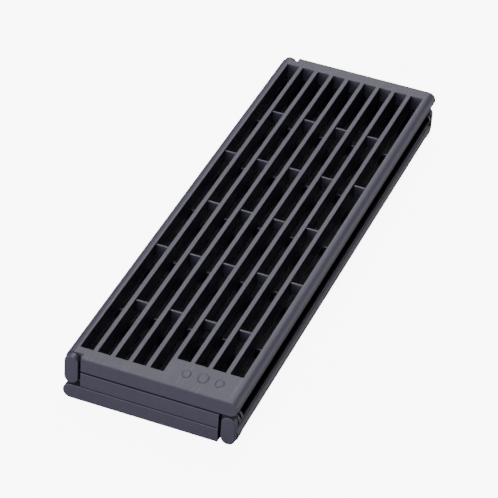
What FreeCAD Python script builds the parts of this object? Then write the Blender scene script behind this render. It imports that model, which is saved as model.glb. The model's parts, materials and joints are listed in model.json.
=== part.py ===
"""Folding draining rack: three slotted panels stacked in a Z fold, joined by double-pivot links.

The frame has +X to the right, +Y to the rear along the slots and +Z up. The origin is the middle
of the folded rack's footprint, on the surface that it stands on. Sizes are millimetres.
"""
import FreeCAD, Part
import os
from FreeCAD import Rotation, Vector

doc = FreeCAD.newDocument("draining_rack")

# Driving dimensions
SIZES = {
    # panel outline
    "panel_length": 414.4,      # front face to rear face
    "panel_depth": 11.7,        # thickness of one panel
    "gap_face": 0.6,            # between two panels folded face to face
    "end_bar": 11.7,            # solid bar across each end, front to back
    "end_round": 0.6,           # soft edge around each end face
    "face_skin": 2.0,           # thickness under the upper face
    # slots
    "slot_count": 9.0,
    "slot_width": 9.5,          # at the face
    "rib_width": 3.3,           # between two slots, at the face
    "slot_taper": 0.6,          # how much each slot side leans in by the back
    "slot_round": 0.4,          # soft edge around each slot at the face
    "rib_wall": 1.1,            # side walls of the hollow ribs, under the face
    "rib_rim": 0.6,             # the same walls at the back
    "land_slots": 4.0,          # slots that start late, behind the plain area on the top panel
    "land_length": 16.4,        # how much later they start
    # cross bars
    "cross_rows": 5.0,
    "cross_thick": 1.5,
    "cross_drop": 1.8,          # below the face
    "cross_rise": 0.9,          # above the back
    "cross_bite": 0.05,         # run into each slot side at the face
    # long side rails
    "rail_wall": 1.42,          # between the outer slot and the rail's hollow
    "side_wall": 1.6,           # rounded outer wall
    "free_lip": 2.5,            # height of the lower rim on a side with no hinge
    # end bar pockets
    "front_wall": 2.0,
    "web": 1.2,
    "pocket_skip": 2.0,         # slots at each side with no pocket behind their ends, over the feet
    # hinge
    "link_thick": 4.5,
    "link_gap": 0.5,            # behind the link plate
    "link_inset": 0.75,         # link edge inside the rounded panel edge
    "link_round": 0.8,          # soft edge around the link's outer face
    "notch_gap": 1.8,           # between the link and the end of the cut-back bar
    "knuckle_wall": 2.2,        # outer bearing wall
    "knuckle_rib": 2.2,         # inner bearing rib
    "knuckle_room": 2.5,        # pocket around the pin
    "pin_diameter": 3.0,
    "pin_running": 0.05,        # radial clearance in the panel
    "pin_seat": 3.2,            # pressed into the link
    "pin_bite": 1.4,            # carried in the inner rib
    "pin_end_gap": 0.3,
    "pin_round": 0.4,           # soft edge at each end of a pin
    # feet
    "foot_diameter": 8.0,
    "foot_proud": 0.5,
    "foot_clear": 0.2,          # between the feet of two panels folded back to back
    "foot_recess": 1.3,
    "foot_gap": 0.1,            # radial clearance in its recess
    "foot_pitches": 3.0,        # slot pitches from the middle
}

sheet = doc.addObject("Spreadsheet::Sheet", "Dims")
for row, (alias, value) in enumerate(SIZES.items(), start=1):
    sheet.set(f"A{row}", alias)
    sheet.set(f"B{row}", str(value))
    sheet.setAlias(f"B{row}", alias)
doc.recompute()

# Derived lengths, as expressions on the sheet
# Two panels folded back to back leave room for both sets of feet. The pivot sits a little nearer
# the back, so that one link length suits both kinds of gap.
GAP_BACK = "(2 * Dims.foot_proud + Dims.foot_clear)"
BACK_R = f"(Dims.panel_depth / 2 - ({GAP_BACK} - Dims.gap_face) / 4)"
FACE_R = f"(Dims.panel_depth - {BACK_R})"
TIER = f"(2 * {FACE_R} + Dims.gap_face)"
PITCH = "(Dims.slot_width + Dims.rib_width)"
SLOT_SPAN = f"((Dims.slot_count - 1) * {PITCH} + Dims.slot_width)"
PIVOT_X = f"({SLOT_SPAN} / 2 + Dims.rail_wall)"
HALF_W = f"({PIVOT_X} + {FACE_R})"
HALF_L = "(Dims.panel_length / 2)"
SLOT_L = "(Dims.panel_length - 2 * Dims.end_bar)"
LINK_R = f"({FACE_R} - Dims.link_inset)"
NOTCH_Y = "(Dims.link_thick + Dims.link_gap)"
NOTCH_X = f"({LINK_R} + Dims.notch_gap)"
PIN_TIP_Y = "(Dims.end_bar - Dims.knuckle_rib + Dims.pin_bite)"      # in from the panel's end
PAST = "1"                   # how far a cutter runs past the face that it opens

MIDDLE_Z = "(Dims.foot_proud + 2 * Dims.panel_depth + Dims.gap_face)"
TOP_Z = f"({MIDDLE_Z} + {GAP_BACK})"
BACK_Z = {"bottom": "Dims.foot_proud", "middle": MIDDLE_Z, "top": TOP_Z}      # each panel's back
PIVOT_Z = {
    "bottom": f"({BACK_Z['bottom']} + {BACK_R})",
    "middle": f"({BACK_Z['middle']} - {BACK_R})",
    "top": f"({BACK_Z['top']} + {BACK_R})",
}

SIDES = {"left": -1, "right": 1}
ENDS = {"front": -1, "rear": 1}
ALONG_Y = Rotation(Vector(1, 0, 0), -90)    # turns a cylinder's +Z axis to +Y
WEDGE_UP = Rotation(Vector(1, 0, 0), 90)    # turns a wedge's taper axis to +Z, its length to -Y


# Small helpers
def bind(item, **expressions):
    for name, text in expressions.items():
        item.setExpression(name, text)


def place(item, x, y, z):
    item.setExpression("Placement.Base.x", x)
    item.setExpression("Placement.Base.y", y)
    item.setExpression("Placement.Base.z", z)


def new_body(label):
    body = doc.addObject("PartDesign::Body", label)
    body.Label = label
    return body


def origin_axis(body, role):
    return next(item for item in body.Origin.OriginFeatures if item.Role == role)


def block(body, name, x, y, z, add=False):
    """A box from (low, high) pairs of expressions."""
    kind = "PartDesign::AdditiveBox" if add else "PartDesign::SubtractiveBox"
    item = body.newObject(kind, name)
    bind(item, Length=f"{x[1]} - ({x[0]})", Width=f"{y[1]} - ({y[0]})", Height=f"{z[1]} - ({z[0]})")
    place(item, x[0], y[0], z[0])
    return item


def rod(body, name, radius, x, y, z, add=False, angle=360.0, spin=0.0):
    """A cylinder along +Y from the (low, high) pair y; spin starts a part turn."""
    kind = "PartDesign::AdditiveCylinder" if add else "PartDesign::SubtractiveCylinder"
    item = body.newObject(kind, name)
    item.Angle = angle
    item.Placement = FreeCAD.Placement(Vector(), ALONG_Y * Rotation(Vector(0, 0, 1), spin))
    bind(item, Radius=radius, Height=f"{y[1]} - ({y[0]})")
    place(item, x, y[0], z)
    return item


def repeat(body, item, spacing, count):
    """Copies along +X."""
    pattern = body.newObject("PartDesign::LinearPattern", f"{item.Name}_row")
    pattern.Originals = [item]
    pattern.Direction = (origin_axis(body, "X_Axis"), [""])
    pattern.Mode = "Spacing"
    bind(pattern, Offset=spacing, Occurrences=count)
    body.Tip = pattern
    return pattern


def soften(body, name, radius, wanted):
    """Rounds the edges of the body's newest feature that the test picks."""
    doc.recompute()
    base = body.Tip
    edges = [f"Edge{n}" for n, edge in enumerate(base.Shape.Edges, start=1) if wanted(edge.BoundBox)]
    fillet = body.newObject("PartDesign::Fillet", name)
    fillet.Base = (base, edges)
    bind(fillet, Radius=radius)
    body.Tip = fillet
    return fillet


def size(alias):
    return float(sheet.get(alias))


def flat_at(box, axis, height):
    """True for an edge that lies in the plane where the axis has that value."""
    low, high = getattr(box, f"{axis}Min"), getattr(box, f"{axis}Max")
    return abs(low - height) < 0.01 and abs(high - height) < 0.01


def mirrored(sign, low, high):
    """The (low, high) pair of a stretch on the +X or +Y side, or its mirror image."""
    return (low, high) if sign > 0 else (f"-({high})", f"-({low})")


# The panels
def outline(body):
    """A flat slab; each long edge is a quarter round of the face radius over one of the back radius."""
    length = (f"-{HALF_L}", HALF_L)
    low_x = f"({HALF_W} - {BACK_R})"
    block(body, "slab", (f"-{PIVOT_X}", PIVOT_X), length, ("0", "Dims.panel_depth"), add=True)
    for side, sign in SIDES.items():
        rod(body, f"{side}_upper", FACE_R, f"{sign} * {PIVOT_X}", length, BACK_R,
            add=True, angle=90.0, spin=-90.0 if sign > 0 else 180.0)
        block(body, f"{side}_under", mirrored(sign, PIVOT_X, low_x), length, ("0", BACK_R), add=True)
        rod(body, f"{side}_lower", BACK_R, f"{sign} * {low_x}", length, BACK_R,
            add=True, angle=90.0, spin=0.0 if sign > 0 else 90.0)
    doc.recompute()
    ends = size("panel_length") / 2
    soften(body, "end_edges", "Dims.end_round",
           lambda box: flat_at(box, "Y", ends) or flat_at(box, "Y", -ends))


def slots(body, land):
    """Slots that narrow towards the back; the last few start late on a panel with a plain area."""
    groups = [("long", "0", "Dims.slot_count - Dims.land_slots", "0"),
              ("late", "Dims.slot_count - Dims.land_slots", "Dims.land_slots", "Dims.land_length")]
    if not land:
        groups = [("long", "0", "Dims.slot_count", "0")]
    for name, first, count, late in groups:
        long = f"({SLOT_L} - {late})"
        item = body.newObject("PartDesign::SubtractiveWedge", f"slot_{name}")
        item.Placement = FreeCAD.Placement(Vector(), WEDGE_UP)
        bind(item, Xmin="Dims.slot_taper", Xmax="Dims.slot_width - Dims.slot_taper",
             X2min="0", X2max="Dims.slot_width", Ymin="0", Ymax="Dims.panel_depth",
             Zmin="Dims.slot_taper", Zmax=f"{long} - Dims.slot_taper", Z2min="0", Z2max=long)
        place(item, f"({first}) * {PITCH} - {SLOT_SPAN} / 2", f"{SLOT_L} / 2", "0")
        repeat(body, item, PITCH, count)
    doc.recompute()
    face, reach = size("panel_depth"), size("panel_length") / 2 - size("end_bar") + 0.01
    pitch = size("slot_width") + size("rib_width")
    inner = (size("slot_count") - 1) * pitch / 2 + size("slot_width") / 2 + 0.01
    soften(body, "slot_edges", "Dims.slot_round",
           lambda box: flat_at(box, "Z", face) and abs(box.XMin) < inner and abs(box.XMax) < inner
           and abs(box.YMin) < reach and abs(box.YMax) < reach)


def rib_hollows(body):
    """The ribs are open from the back; their walls thin from the skin's underside to the rim."""
    at_skin = "(Dims.rib_width + 2 * Dims.slot_taper * Dims.face_skin / Dims.panel_depth)"
    wide = "(Dims.rib_width + 2 * Dims.slot_taper - 2 * Dims.rib_rim)"
    slim = f"({at_skin} - 2 * Dims.rib_wall)"
    item = body.newObject("PartDesign::SubtractiveWedge", "rib_hollow")
    item.Placement = FreeCAD.Placement(Vector(), WEDGE_UP)
    bind(item, Xmin="0", Xmax=wide, X2min=f"({wide} - {slim}) / 2", X2max=f"({wide} + {slim}) / 2",
         Ymin="0", Ymax="Dims.panel_depth - Dims.face_skin", Zmin="0", Zmax=SLOT_L, Z2min="0", Z2max=SLOT_L)
    first = f"Dims.slot_width + Dims.rib_width / 2 - {SLOT_SPAN} / 2"
    place(item, f"{first} - {wide} / 2", f"{SLOT_L} / 2", "0")
    repeat(body, item, PITCH, "Dims.slot_count - 1")


def cross_bars(body, even_first):
    """Thin bars across the slots, in rows that take every second slot in turn."""
    for row in range(1, int(size("cross_rows")) + 1):
        odd = (row % 2 == 1) != even_first      # this row starts at the first slot
        start = "0" if odd else "1"
        count = f"{'ceil' if odd else 'floor'}(Dims.slot_count / 2)"
        middle = f"({row} * {SLOT_L} / (Dims.cross_rows + 1) - {SLOT_L} / 2)"
        left = f"({start} * {PITCH} - {SLOT_SPAN} / 2 - Dims.cross_bite)"
        item = block(body, f"cross_{row}", (left, f"({left} + Dims.slot_width + 2 * Dims.cross_bite)"),
                     (f"{middle} - Dims.cross_thick / 2", f"{middle} + Dims.cross_thick / 2"),
                     ("Dims.cross_rise", "Dims.panel_depth - Dims.cross_drop"), add=True)
        repeat(body, item, f"2 * {PITCH}", count)


def bar_pockets(body, land):
    """Pockets in the back of the end bars, clear of the feet, and of the plain area."""
    top = "Dims.panel_depth - Dims.face_skin"
    low_x = f"(Dims.pocket_skip * {PITCH} - {SLOT_SPAN} / 2)"
    for end, sign in ENDS.items():
        depth = mirrored(sign, f"{HALF_L} - Dims.end_bar + Dims.web", f"{HALF_L} - Dims.front_wall")
        item = block(body, f"{end}_pocket", (low_x, f"{low_x} + Dims.slot_width"), depth,
                     (f"-{PAST}", top))
        repeat(body, item, PITCH, "Dims.slot_count - 2 * Dims.pocket_skip")
    if land:
        low_x = f"((Dims.slot_count - Dims.land_slots) * {PITCH} - {SLOT_SPAN} / 2)"
        low_y = f"-{HALF_L} + Dims.end_bar"
        item = block(body, "land_pocket", (low_x, f"{low_x} + Dims.slot_width"),
                     (low_y, f"{low_y} + Dims.land_length - Dims.web"), (f"-{PAST}", top))
        repeat(body, item, PITCH, "Dims.land_slots")


def side_hollow(body, side, hinged):
    """The long hollow in a side rail, open at the back, and outside as well below the pivots."""
    sign = SIDES[side]
    length = (f"-{SLOT_L} / 2", f"{SLOT_L} / 2")
    inner = f"({FACE_R} - Dims.side_wall)"
    rod(body, f"{side}_hollow_round", inner, f"{sign} * {PIVOT_X}", length, BACK_R,
        angle=90.0, spin=-90.0 if sign > 0 else 180.0)
    block(body, f"{side}_hollow", mirrored(sign, PIVOT_X, f"({PIVOT_X} + {inner})"), length,
          (f"-{PAST}", BACK_R))
    block(body, f"{side}_lip", mirrored(sign, PIVOT_X, f"({HALF_W} + {PAST})"), length,
          (f"-{PAST}", BACK_R if hinged else "Dims.free_lip"))


def knuckles(body, side):
    """Notch for the link, two bearing walls with a pocket between them, and the pin's bore."""
    sign = SIDES[side]
    past = f"({HALF_W} + {PAST})"
    room = f"({PIVOT_X} - Dims.knuckle_room)"
    bore = "Dims.pin_diameter / 2 + Dims.pin_running"
    for end, way in ENDS.items():
        def stretch(low, high):
            return mirrored(way, f"({HALF_L} - {high})", f"({HALF_L} - {low})")

        block(body, f"{side}_{end}_notch", mirrored(sign, f"({PIVOT_X} - {NOTCH_X})", past),
              stretch(f"(-{PAST})", NOTCH_Y), (f"-{PAST}", f"Dims.panel_depth + {PAST}"))
        pocket = stretch(f"({NOTCH_Y} + Dims.knuckle_wall)", "(Dims.end_bar - Dims.knuckle_rib)")
        block(body, f"{side}_{end}_pocket", mirrored(sign, room, f"({HALF_W} - Dims.side_wall)"), pocket,
              (f"-{PAST}", f"{BACK_R} + Dims.knuckle_room"))
        block(body, f"{side}_{end}_opening", mirrored(sign, room, past), pocket,
              (f"-{PAST}", BACK_R))
        rod(body, f"{side}_{end}_bore", bore, f"{sign} * {PIVOT_X}",
            stretch(NOTCH_Y, f"({PIN_TIP_Y} + Dims.pin_end_gap)"), BACK_R)


def foot_places():
    for end, way in ENDS.items():
        y = f"{way} * ({HALF_L} - Dims.end_bar / 2)"
        for side, sign in SIDES.items():
            yield end, side, f"{sign} * Dims.foot_pitches * {PITCH}", y


def foot_recesses(body):
    for end, side, x, y in foot_places():
        item = body.newObject("PartDesign::SubtractiveCylinder", f"foot_recess_{end}_{side}")
        bind(item, Radius="Dims.foot_diameter / 2 + Dims.foot_gap", Height=f"Dims.foot_recess + {PAST}")
        place(item, x, y, f"-{PAST}")


def panel(tier, hinged_sides, land=False, even_first=True):
    body = new_body(f"{tier}_panel")
    outline(body)
    for side in SIDES:
        side_hollow(body, side, side in hinged_sides)
    for side in hinged_sides:
        knuckles(body, side)
    foot_recesses(body)
    bar_pockets(body, land)
    slots(body, land)
    rib_hollows(body)
    cross_bars(body, even_first)
    return body


FLIPPED = Rotation(Vector(0, 1, 0), 180)    # the middle panel lies face down


def stand(body, tier):
    """Moves a panel to where it lies when folded."""
    if tier == "middle":
        body.Placement = FreeCAD.Placement(Vector(), FLIPPED)
    place(body, "0", "0", BACK_Z[tier])


# Links, pins and feet
def link(side, end, lower):
    """A plate with round ends about the pivots of two neighbouring panels."""
    sign, way = SIDES[side], ENDS[end]
    body = new_body(f"link_{side}_{end}")
    depth = mirrored(way, f"({HALF_L} - Dims.link_thick)", HALF_L)
    block(body, "plate", (f"-{LINK_R}", LINK_R), depth, ("0", TIER), add=True)
    rod(body, "low_end", LINK_R, "0", depth, "0", add=True)
    rod(body, "high_end", LINK_R, "0", depth, TIER, add=True)
    doc.recompute()
    outer = way * size("panel_length") / 2
    soften(body, "outer_edge", "Dims.link_round", lambda box: flat_at(box, "Y", outer))
    seat = mirrored(way, f"({HALF_L} - Dims.link_thick - {PAST})",
                    f"({HALF_L} - Dims.link_thick + Dims.pin_seat)")
    for name, height in (("low_seat", "0"), ("high_seat", TIER)):
        rod(body, name, "Dims.pin_diameter / 2", "0", seat, height)
    place(body, f"{sign} * {PIVOT_X}", "0", PIVOT_Z[lower])


def pin(side, end, tier):
    sign, way = SIDES[side], ENDS[end]
    body = new_body(f"pin_{side}_{end}_{tier}")
    reach = mirrored(way, f"({HALF_L} - {PIN_TIP_Y})", f"({HALF_L} - Dims.link_thick + Dims.pin_seat)")
    rod(body, "shank", "Dims.pin_diameter / 2", "0", reach, "0", add=True)
    soften(body, "pin_ends", "Dims.pin_round", lambda box: box.YLength < 0.01)
    place(body, f"{sign} * {PIVOT_X}", "0", PIVOT_Z[tier])


def feet(tier):
    low = f"{BACK_Z[tier]} - Dims.foot_{'recess' if tier == 'middle' else 'proud'}"
    for end, side, x, y in foot_places():
        body = new_body(f"foot_{tier}_{end}_{side}")
        item = body.newObject("PartDesign::AdditiveCylinder", "pad")
        bind(item, Radius="Dims.foot_diameter / 2", Height="Dims.foot_recess + Dims.foot_proud")
        place(body, x, y, low)


HINGED = {"bottom": ["right"], "middle": ["left", "right"], "top": ["left"]}
for tier, sides in HINGED.items():
    stand(panel(tier, sides, land=tier == "top", even_first=tier != "middle"), tier)
    feet(tier)
for end in ENDS:
    for side, lower in (("right", "bottom"), ("left", "middle")):
        link(side, end, lower)
    for tier, sides in HINGED.items():
        for side in sides:
            pin(side, end, tier)

# Check and write
doc.recompute()
os.makedirs("parts", exist_ok=True)
bodies = [item for item in doc.Objects if item.TypeId == "PartDesign::Body"]
for item in doc.Objects:
    if "Invalid" in item.State or "Error" in item.State:
        raise RuntimeError(f"{item.Name} failed: {item.State}")
for body in bodies:
    shape = body.Shape
    if shape.isNull() or not shape.isValid() or len(shape.Solids) != 1:
        raise RuntimeError(f"{body.Label} is not one valid solid")
    shape.exportStep(f"parts/{body.Label}.step")
    print(body.Label, round(shape.Volume, 1))
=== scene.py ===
import bpy
import json
import math
import numpy as np
from mathutils import Matrix, Vector

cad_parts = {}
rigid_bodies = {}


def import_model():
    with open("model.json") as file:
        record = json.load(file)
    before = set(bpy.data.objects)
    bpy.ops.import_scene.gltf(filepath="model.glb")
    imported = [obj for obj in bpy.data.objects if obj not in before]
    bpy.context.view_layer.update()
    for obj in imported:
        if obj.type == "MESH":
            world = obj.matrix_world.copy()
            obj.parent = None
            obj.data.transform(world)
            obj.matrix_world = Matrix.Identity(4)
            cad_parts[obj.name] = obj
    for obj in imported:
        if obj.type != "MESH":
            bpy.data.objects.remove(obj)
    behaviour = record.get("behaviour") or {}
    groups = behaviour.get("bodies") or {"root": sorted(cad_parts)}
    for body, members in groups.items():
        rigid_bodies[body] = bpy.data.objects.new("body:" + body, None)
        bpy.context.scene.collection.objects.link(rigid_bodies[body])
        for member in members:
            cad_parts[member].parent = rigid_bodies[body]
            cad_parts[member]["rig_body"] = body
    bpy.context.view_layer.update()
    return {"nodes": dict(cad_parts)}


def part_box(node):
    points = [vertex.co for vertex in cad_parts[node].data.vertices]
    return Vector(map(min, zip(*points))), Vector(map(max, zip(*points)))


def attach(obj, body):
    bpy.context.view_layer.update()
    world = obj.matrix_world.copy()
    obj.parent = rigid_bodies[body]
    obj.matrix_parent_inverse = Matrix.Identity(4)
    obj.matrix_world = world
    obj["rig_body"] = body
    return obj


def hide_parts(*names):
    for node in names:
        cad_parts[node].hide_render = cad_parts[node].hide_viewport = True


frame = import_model()
print("frame loaded,", len(frame["nodes"]), "nodes")

# the view from the front right, a little above the rack, through a long lens
cameraValues = {
    "place": (0.50545, -1.4706, 1.1628),
    "lookAt": (-0.00145, -0.0219, 0.020),
    "rollDegrees": 3.98,
    "lensMm": 191.7,
    "sensorMm": 36,
    "clip": (0.05, 50),
}


def makeCamera(values):
    data = bpy.data.cameras.new("rackCamera")
    data.lens = values["lensMm"]
    data.sensor_width = values["sensorMm"]
    data.clip_start, data.clip_end = values["clip"]
    camera = bpy.data.objects.new("rackCamera", data)
    place, target = Vector(values["place"]), Vector(values["lookAt"])
    turn = (target - place).to_track_quat("-Z", "Y").to_matrix().to_4x4()
    roll = Matrix.Rotation(math.radians(values["rollDegrees"]), 4, "Z")
    camera.matrix_world = Matrix.Translation(place) @ turn @ roll
    bpy.context.scene.collection.objects.link(camera)
    bpy.context.scene.camera = camera
    return camera


makeCamera(cameraValues)
print("camera placed")


class Signal:
    # wraps a shader socket so that sums and products of signals add their own Math nodes
    def __init__(self, shader, socket):
        self.shader, self.socket = shader, socket

    def combine(self, operation, first, second):
        return self.shader.add("ShaderNodeMath", {"operation": operation}, {0: first, 1: second})

    def __add__(self, other):
        return self.combine("ADD", self, other)

    def __radd__(self, other):
        return self.combine("ADD", other, self)

    def __sub__(self, other):
        return self.combine("SUBTRACT", self, other)

    def __rsub__(self, other):
        return self.combine("SUBTRACT", other, self)

    def __mul__(self, other):
        return self.combine("MULTIPLY", self, other)

    def __rmul__(self, other):
        return self.combine("MULTIPLY", other, self)

    def __mod__(self, other):
        return self.combine("FLOORED_MODULO", self, other)

    def __lt__(self, other):
        return self.combine("LESS_THAN", self, other)

    def __abs__(self):
        return self.combine("ABSOLUTE", self, 0.0)


class Shader:
    # one material: a Principled BSDF and the nodes that feed it
    def __init__(self, name):
        self.material = bpy.data.materials.new(name)
        self.material.use_nodes = True
        self.nodes = self.material.node_tree.nodes
        self.links = self.material.node_tree.links
        self.surface = self.nodes["Principled BSDF"]
        self.place = self.add("ShaderNodeTexCoord", output="Object")

    def add(self, kind, settings=None, inputs=None, output=0):
        # settings first, then values or links for the sockets, given by name or number
        node = self.nodes.new(kind)
        for name, value in (settings or {}).items():
            if name == "stops":
                self.setStops(node.color_ramp, value)
            else:
                setattr(node, name, value)
        for name, value in (inputs or {}).items():
            self.feed(node.inputs[name], value)
        return Signal(self, node.outputs[output])

    def setStops(self, ramp, stops):
        while len(ramp.elements) < len(stops):
            ramp.elements.new(1.0)
        for element, (position, level) in zip(ramp.elements, stops):
            element.position = position
            element.color = (level, level, level, 1.0)

    def feed(self, socket, value):
        if isinstance(value, Signal):
            self.links.new(value.socket, socket)
        else:
            socket.default_value = value

    def set(self, **values):
        # surface sockets by name, with a space where the name has a capital letter
        for name, value in values.items():
            label = "".join(" " + c if c.isupper() else c for c in name)
            self.feed(self.surface.inputs[label[:1].upper() + label[1:]], value)

    def noise(self, scale, detail=3.0, stretch=(1.0, 1.0, 1.0), roughness=0.5):
        moved = self.add("ShaderNodeMapping", {}, {"Vector": self.place, "Scale": stretch}, "Vector")
        return self.add("ShaderNodeTexNoise", {"noise_dimensions": "3D"},
                        {"Vector": moved, "Scale": scale, "Detail": detail, "Roughness": roughness})

    def least(self, first, second):
        return self.add("ShaderNodeMath", {"operation": "MINIMUM"}, {0: first, 1: second})

    def ramp(self, signal, *stops):
        return self.add("ShaderNodeValToRGB", {"stops": stops}, {0: signal})

    def mix(self, factor, first, second):
        return self.add("ShaderNodeMix", {"data_type": "RGBA"}, {0: factor, 6: first, 7: second}, 2)

    def bump(self, height, distance, strength=1.0):
        return self.add("ShaderNodeBump", {}, {"Height": height, "Distance": distance,
                                              "Strength": strength}, "Normal")


# sizes of the grille that the wear and the marks follow, in metres
grilleValues = {
    "slotPitch": 0.0128,
    "slotWidth": 0.0095,
    "slotCount": 9,
    "landSlots": 4,              # slots at the right that stop short of the plain area
}

# moulded slate blue plastic: spark grain, faint flow clouds, scuffs along the ribs, rubbed slot edges
plasticValues = {
    "base": (0.0132, 0.0122, 0.0208, 1.0),
    "deep": (0.0108, 0.0099, 0.0174, 1.0),
    "rubbed": (0.024, 0.0232, 0.036, 1.0),
    "specular": 0.16,
    "roughness": 0.52,
    "cloudRoughness": 0.05,      # added where the clouds are dense
    "wornRoughness": 0.10,       # taken off where the plastic is rubbed
    "cloudScale": 14.0,
    "cloudStops": ((0.35, 0.0), (0.68, 1.0)),
    "speckShare": 0.3,           # how much of the colour change is fine specks
    "grainScale": 2600.0,
    "grainDepth": 0.00005,
    "scuffScale": 220.0,
    "scuffStretch": (1.0, 0.05, 1.0),
    "scuffStops": ((0.58, 0.0), (0.72, 1.0)),
    "scuffAmount": 0.10,
    "patchScale": 60.0,
    "patchStops": ((0.42, 0.0), (0.62, 1.0)),
    "edgeStops": ((0.15, 1.0), (0.6, 0.0)),    # millimetres from the slot side
    "edgeAmount": 0.45,
    "edgeDepth": 0.0007,         # how far below the face the rubbed edges reach
    "linkShade": 0.96,
}


millimetres = 1000.0             # in a metre


def slotEdges(shader, grille):
    # distance from the nearest slot side: x is wrapped at the slot pitch, then measured from both sides
    first = ((grille["slotCount"] - 1) * grille["slotPitch"] + grille["slotWidth"]) / 2
    x = shader.add("ShaderNodeSeparateXYZ", {}, {0: shader.place}, "X")
    across = (x + first) % grille["slotPitch"]
    near = shader.least(abs(across), abs(across - grille["slotWidth"]))
    return shader.least(near, abs(across - grille["slotPitch"]))


def mouldedPlastic(name, values, grille, faceHeight=None, shade=1.0):
    shader = Shader(name)
    cloud = shader.ramp(shader.noise(values["cloudScale"], detail=4.0), *values["cloudStops"])
    grain = shader.noise(values["grainScale"], detail=2.0)
    speck = shader.noise(values["grainScale"] / 3, detail=2.0)
    scratches = shader.noise(values["scuffScale"], detail=6.0, stretch=values["scuffStretch"], roughness=0.62)
    scuff = shader.ramp(scratches, *values["scuffStops"])
    deep = tuple(shade * v for v in values["deep"][:3]) + (1.0,)
    base = tuple(shade * v for v in values["base"][:3]) + (1.0,)
    worn = scuff * values["scuffAmount"]
    if faceHeight is not None:
        z = shader.add("ShaderNodeSeparateXYZ", {}, {0: shader.place}, "Z")
        atFace = abs(z - faceHeight) < values["edgeDepth"]
        edge = shader.ramp(slotEdges(shader, grille) * millimetres, *values["edgeStops"])
        patch = shader.ramp(shader.noise(values["patchScale"], detail=4.0), *values["patchStops"])
        worn = worn + edge * atFace * patch * values["edgeAmount"]
    speckShare = values["speckShare"]
    body = shader.mix(cloud * (1 - speckShare) + speck * speckShare, deep, base)
    shader.set(baseColor=shader.mix(worn, body, values["rubbed"]),
               roughness=values["roughness"] + cloud * values["cloudRoughness"]
               - worn * values["wornRoughness"],
               normal=shader.bump(grain, values["grainDepth"]))
    shader.surface.inputs["Specular IOR Level"].default_value = values["specular"]
    return shader.material


rubberValues = {
    "base": (0.030, 0.030, 0.034, 1.0),
    "dusty": (0.060, 0.060, 0.064, 1.0),
    "dustScale": 900.0,
    "dustStops": ((0.4, 0.0), (0.75, 1.0)),
    "roughness": 0.72,
    "dustRoughness": 0.15,
    "grainScale": 4000.0,
    "grainDepth": 0.00003,
}


def softRubber(name, values):
    shader = Shader(name)
    dust = shader.ramp(shader.noise(values["dustScale"], detail=5.0), *values["dustStops"])
    shader.set(baseColor=shader.mix(dust, values["base"], values["dusty"]),
               roughness=values["roughness"] + dust * values["dustRoughness"],
               normal=shader.bump(shader.noise(values["grainScale"], detail=2.0), values["grainDepth"]))
    return shader.material


steelValues = {
    "base": (0.55, 0.55, 0.56, 1.0),
    "dull": (0.38, 0.38, 0.39, 1.0),
    "ringScale": 1800.0,
    "ringStretch": (0.1, 1.0, 0.1),
    "ringDepth": 0.00002,
    "roughness": 0.26,
    "roughnessSwing": 0.2,
}


def groundSteel(name, values):
    shader = Shader(name)
    rings = shader.noise(values["ringScale"], detail=4.0, stretch=values["ringStretch"])
    shader.set(baseColor=shader.mix(rings, values["dull"], values["base"]),
               roughness=values["roughness"] + rings * values["roughnessSwing"], metallic=1.0,
               normal=shader.bump(rings, values["ringDepth"]))
    return shader.material


def faceHeight(name):
    # the middle panel lies face down, the other two face up
    low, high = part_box(name)
    return low.z if name == "middle_panel" else high.z


finishes = {
    "link": mouldedPlastic("linkPlastic", plasticValues, grilleValues, shade=plasticValues["linkShade"]),
    "pin": groundSteel("pinSteel", steelValues),
    "foot": softRubber("footRubber", rubberValues),
}
for name, node in frame["nodes"].items():
    node.data.materials.clear()
    if name.endswith("_panel"):
        finishes[name] = mouldedPlastic(name + "_plastic", plasticValues, grilleValues, faceHeight(name))
        node.data.materials.append(finishes[name])
    else:
        node.data.materials.append(finishes[name.split("_")[0]])
print("materials made")


def ringSolid(rings):
    # a closed surface from rings of points, highest first; the first and last rings are single points
    count, around = rings.shape[:2]
    points = np.vstack([rings[0, :1], rings[1:-1].reshape(-1, 3), rings[-1, :1]])
    index = 1 + np.arange((count - 2) * around).reshape(count - 2, around)
    turned = np.roll(index, -1, axis=1)
    last = np.full(around, len(points) - 1)
    quads = np.stack([index[:-1], index[1:], turned[1:], turned[:-1]], axis=-1).reshape(-1, 4)
    top = np.stack([np.zeros(around, int), index[0], turned[0]], axis=-1)
    bottom = np.stack([last, turned[-1], index[-1]], axis=-1)
    return points, quads.tolist() + top.tolist() + bottom.tolist()


sharpDegrees = 40                # faces that meet at more than this stay sharp


def makePiece(name, solids, body, material):
    points, faces, shift = [], [], 0
    for solidPoints, solidFaces in solids:
        points.append(solidPoints)
        faces += [[shift + corner for corner in face] for face in solidFaces]
        shift += len(solidPoints)
    mesh = bpy.data.meshes.new(name)
    mesh.from_pydata(np.vstack(points).tolist(), [], faces)
    mesh.polygons.foreach_set("use_smooth", np.ones(len(faces), bool))
    mesh.set_sharp_from_angle(angle=math.radians(sharpDegrees))
    mesh.materials.append(material)
    piece = bpy.data.objects.new(name, mesh)
    bpy.context.scene.collection.objects.link(piece)
    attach(piece, body)
    return piece


# rubber feet: a button with a domed face, two grip grooves and a dimple in the middle
footValues = {
    "around": 64,
    "steps": 60,
    "roundSteps": 8,
    "edgeRound": 0.00035,
    "dome": 0.00008,             # how much lower the rim of the face is than its middle
    "grooves": (0.0016, 0.0028),
    "grooveHalf": 0.00022,
    "grooveDepth": 0.00018,
    "dimple": 0.0005,
}


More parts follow.
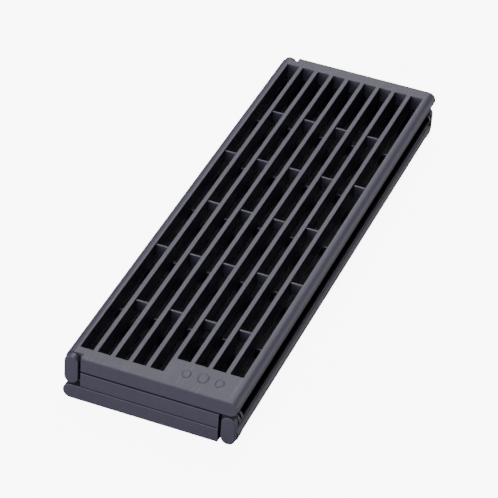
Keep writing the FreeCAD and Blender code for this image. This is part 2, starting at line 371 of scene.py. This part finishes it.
def footRings(values, centre, radius, low, high, faceUp):
    # the face's height falls with the square of the radius, less a Gaussian groove at each groove radius,
    # and a quarter circle carries it into the side
    flat = radius - values["edgeRound"]
    r = np.linspace(0.0, flat, values["steps"])
    drop = values["dome"] * (r / flat) ** 2
    for groove in values["grooves"]:
        drop = drop + values["grooveDepth"] * np.exp(-((r - groove) / values["grooveHalf"]) ** 2)
    drop = drop + values["grooveDepth"] * np.exp(-(r / values["dimple"]) ** 2)
    bend = np.linspace(0.0, math.pi / 2, values["roundSteps"])[1:]
    r = np.concatenate([r, flat + values["edgeRound"] * np.sin(bend), [radius, 0.0]])
    roundDrop = values["dome"] + values["edgeRound"] * (1 - np.cos(bend))
    drop = np.concatenate([drop, roundDrop, [high - low, high - low]])
    z = high - drop if faceUp else low + drop
    if not faceUp:
        r, z = r[::-1], z[::-1]
    angle = np.linspace(0.0, 2 * math.pi, values["around"], endpoint=False)
    return np.stack([centre.x + np.outer(r, np.cos(angle)), centre.y + np.outer(r, np.sin(angle)),
                     np.repeat(z[:, None], values["around"], axis=1)], axis=-1)


for name, node in frame["nodes"].items():
    if name.startswith("foot_"):
        low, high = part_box(name)
        rings = footRings(footValues, (low + high) / 2, (high.x - low.x) / 2, low.z, high.z,
                          name.startswith("foot_middle"))
        piece = makePiece(name + "_button", [ringSolid(rings)], node["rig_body"], finishes["foot"])
        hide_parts(name)
print("feet made")

# a plain mark of three water drops on the land, the middle one larger
markValues = {
    "radii": (0.0027, 0.0034, 0.0027),
    "spacing": 0.0120,
    "fromFront": 0.0140,         # from the front face to the row's middle
    "tip": 1.15,                 # how far the point of a drop reaches past its round part
    "sharpness": 4.0,
    "ridgeAt": 0.86,             # the raised outline, as a share of the radius
    "ridgeHalf": 0.09,
    "ridgeHeight": 0.00028,
    "dishHeight": 0.00008,
    "sunk": 0.00015,             # set into the face
    "around": 96,
    "steps": 26,
}


def dropRings(values, x, y, faceZ, radius):
    # the radius is a circle's, stretched to the rear by a power of the raised sine; the height over it is a
    # low dish with a Gaussian ridge near the outline
    angle = np.linspace(0.0, 2 * math.pi, values["around"], endpoint=False)
    reach = radius * (1 + values["tip"] * ((1 + np.sin(angle)) / 2) ** values["sharpness"])
    share = np.concatenate([np.linspace(0.0, 1.0, values["steps"]), [1.0, 0.0]])
    ridge = values["ridgeHeight"] * np.exp(-((share - values["ridgeAt"]) / values["ridgeHalf"]) ** 2)
    height = values["dishHeight"] + ridge
    height[-2:] = -values["sunk"]
    return np.stack([x + np.outer(share, reach * np.cos(angle)), y + np.outer(share, reach * np.sin(angle)),
                     faceZ + np.repeat(height[:, None], values["around"], axis=1)], axis=-1)


def makeMark(values, grille):
    low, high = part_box("top_panel")
    right = ((grille["slotCount"] - 1) * grille["slotPitch"] + grille["slotWidth"]) / 2
    left = right - (grille["landSlots"] - 1) * grille["slotPitch"] - grille["slotWidth"]
    middleX = (left + right) / 2
    middleY = low.y + values["fromFront"]
    solids = []
    for number, radius in enumerate(values["radii"]):
        x = middleX + (number - 1) * values["spacing"]
        solids.append(ringSolid(dropRings(values, x, middleY, high.z, radius)))
    makePiece("drop_mark", solids, "top_panel", finishes["top_panel"])


makeMark(markValues, grilleValues)
print("mark made")

# pale floor and soft lights
stageValues = {
    "floorHalf": 6.0,
    "floorColor": (0.18, 0.18, 0.18, 1.0),
    "floorRoughness": 0.8,
    "floorGlow": 8.0,            # added for the camera only, so that the rack isn't lit from below
    "worldColor": (1.0, 1.0, 1.0, 1.0),
    "worldStrength": 0.26,
}


def makeFloor(values):
    half = values["floorHalf"]
    mesh = bpy.data.meshes.new("floor")
    corners = [(-half, -half, 0), (half, -half, 0), (half, half, 0), (-half, half, 0)]
    mesh.from_pydata(corners, [], [(0, 1, 2, 3)])
    floor = bpy.data.objects.new("floor", mesh)
    bpy.context.scene.collection.objects.link(floor)
    shader = Shader("paleFloor")
    seen = shader.add("ShaderNodeLightPath", output="Is Camera Ray")
    shader.set(baseColor=values["floorColor"], roughness=values["floorRoughness"],
               emissionColor=shader.mix(seen, (0.0, 0.0, 0.0, 1.0), (1.0, 1.0, 1.0, 1.0)),
               emissionStrength=values["floorGlow"])
    mesh.materials.append(shader.material)


def makeWorld(values):
    world = bpy.data.worlds.new("studio")
    world.use_nodes = True
    background = world.node_tree.nodes["Background"]
    background.inputs["Color"].default_value = values["worldColor"]
    background.inputs["Strength"].default_value = values["worldStrength"]
    bpy.context.scene.world = world


# the overhead light is narrow and a little to the left, so that the slots turn dark below their rims
lightValues = {
    "overhead": {"place": (-0.22, 0.80, 2.1), "size": (0.5, 2.8), "watts": 205.0},
    "front": {"place": (-0.9, -2.3, 0.6), "size": (2.2, 1.0), "watts": 245.0},
    "side": {"place": (1.9, 0.6, 0.10), "size": (2.6, 0.18), "watts": 60.0},
}


def makeLights(lights):
    for name, values in lights.items():
        data = bpy.data.lights.new(name, "AREA")
        data.shape = "RECTANGLE"
        data.size, data.size_y = values["size"]
        data.energy = values["watts"]
        lamp = bpy.data.objects.new(name, data)
        lamp.location = values["place"]
        lamp.rotation_euler = (-Vector(values["place"])).to_track_quat("-Z", "Y").to_euler()
        bpy.context.scene.collection.objects.link(lamp)


makeFloor(stageValues)
makeWorld(stageValues)
makeLights(lightValues)
print("stage lit")
